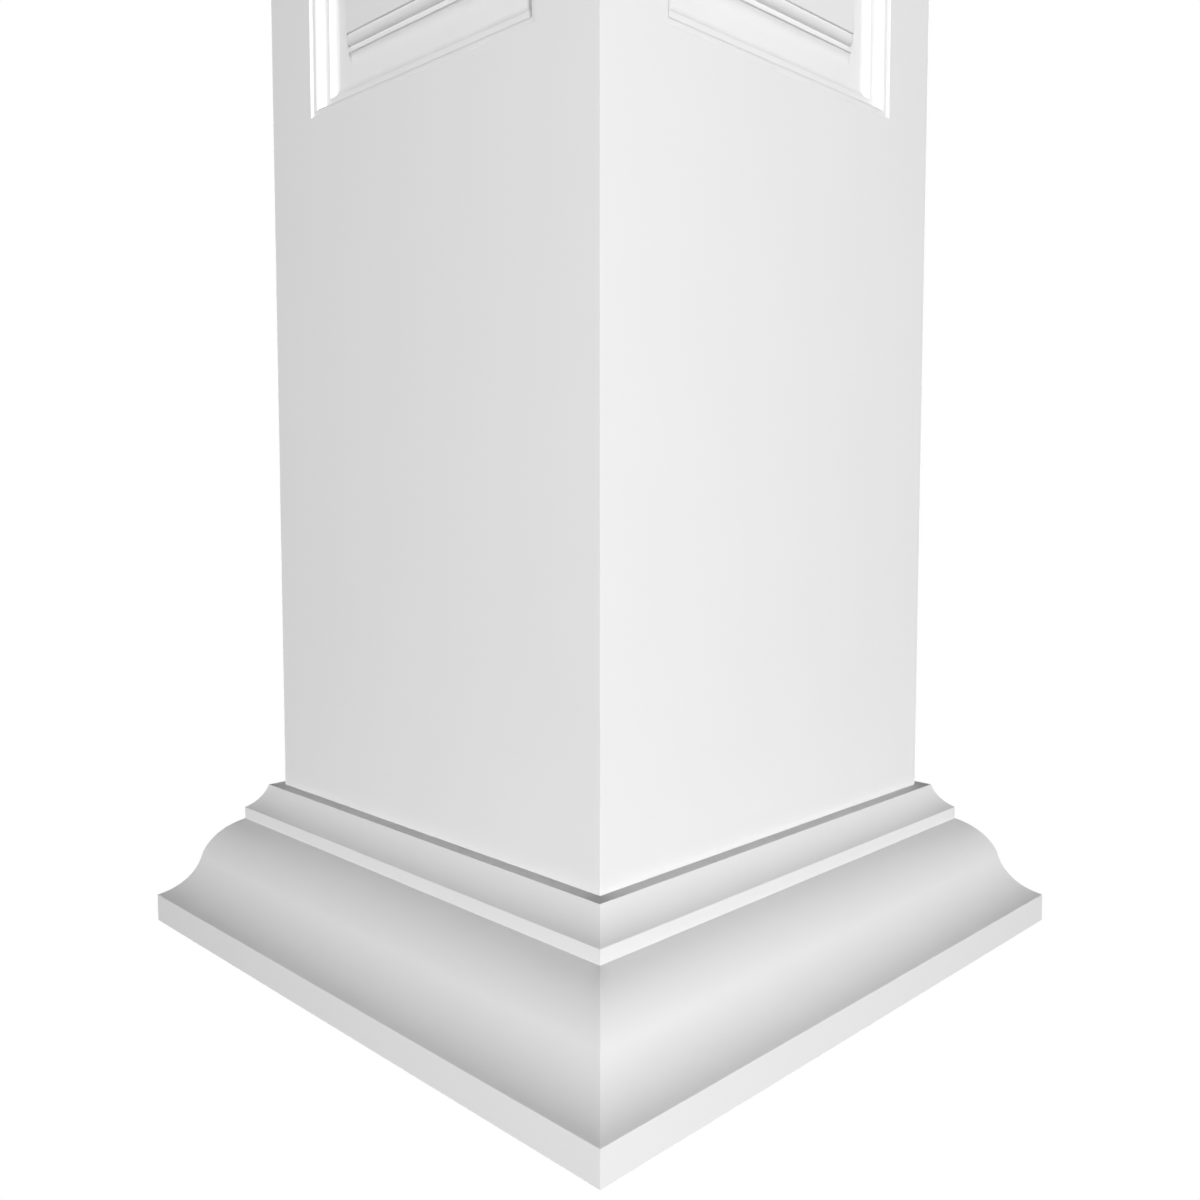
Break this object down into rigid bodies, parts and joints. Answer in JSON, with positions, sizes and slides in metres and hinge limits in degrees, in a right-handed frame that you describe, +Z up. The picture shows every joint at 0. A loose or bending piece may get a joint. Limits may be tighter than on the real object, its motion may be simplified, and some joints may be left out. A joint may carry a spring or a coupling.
{
  "type": "square column",
  "caption": "Square hollow porch column of white PVC boards, with a tall raised panel on each side, a moulded base and a moulded capital.",
  "frame": {"origin": "centre of the column's square foot, on the floor", "axes": "+Z up the column; the column's front faces -Y and its right side faces +X"},
  "size_m": [0.3596, 0.3596, 2.4384],
  "materials": {
    "shaft_board": "satin white cellular PVC board",
    "raised_panel": "satin white cellular PVC, milled",
    "panel_moulding": "satin white cellular PVC, extruded",
    "crown_moulding": "satin white cellular PVC, extruded"
  },
  "bodies": {
    "root": {"shaft_board_front": "shaft_board", "shaft_board_right": "shaft_board", "shaft_board_back": "shaft_board", "shaft_board_left": "shaft_board", "raised_panel_front": "raised_panel", "raised_panel_right": "raised_panel", "raised_panel_back": "raised_panel", "raised_panel_left": "raised_panel", "panel_moulding_front_bottom": "panel_moulding", "panel_moulding_front_top": "panel_moulding", "panel_moulding_front_left_side": "panel_moulding", "panel_moulding_front_right_side": "panel_moulding", "panel_moulding_right_bottom": "panel_moulding", "panel_moulding_right_top": "panel_moulding", "panel_moulding_right_left_side": "panel_moulding", "panel_moulding_right_right_side": "panel_moulding", "panel_moulding_back_bottom": "panel_moulding", "panel_moulding_back_top": "panel_moulding", "panel_moulding_back_left_side": "panel_moulding", "panel_moulding_back_right_side": "panel_moulding", "panel_moulding_left_bottom": "panel_moulding", "panel_moulding_left_top": "panel_moulding", "panel_moulding_left_left_side": "panel_moulding", "panel_moulding_left_right_side": "panel_moulding", "base_moulding_front": "crown_moulding", "base_moulding_right": "crown_moulding", "base_moulding_back": "crown_moulding", "base_moulding_left": "crown_moulding", "capital_moulding_front": "crown_moulding", "capital_moulding_right": "crown_moulding", "capital_moulding_back": "crown_moulding", "capital_moulding_left": "crown_moulding"}
  },
  "joints": []
}
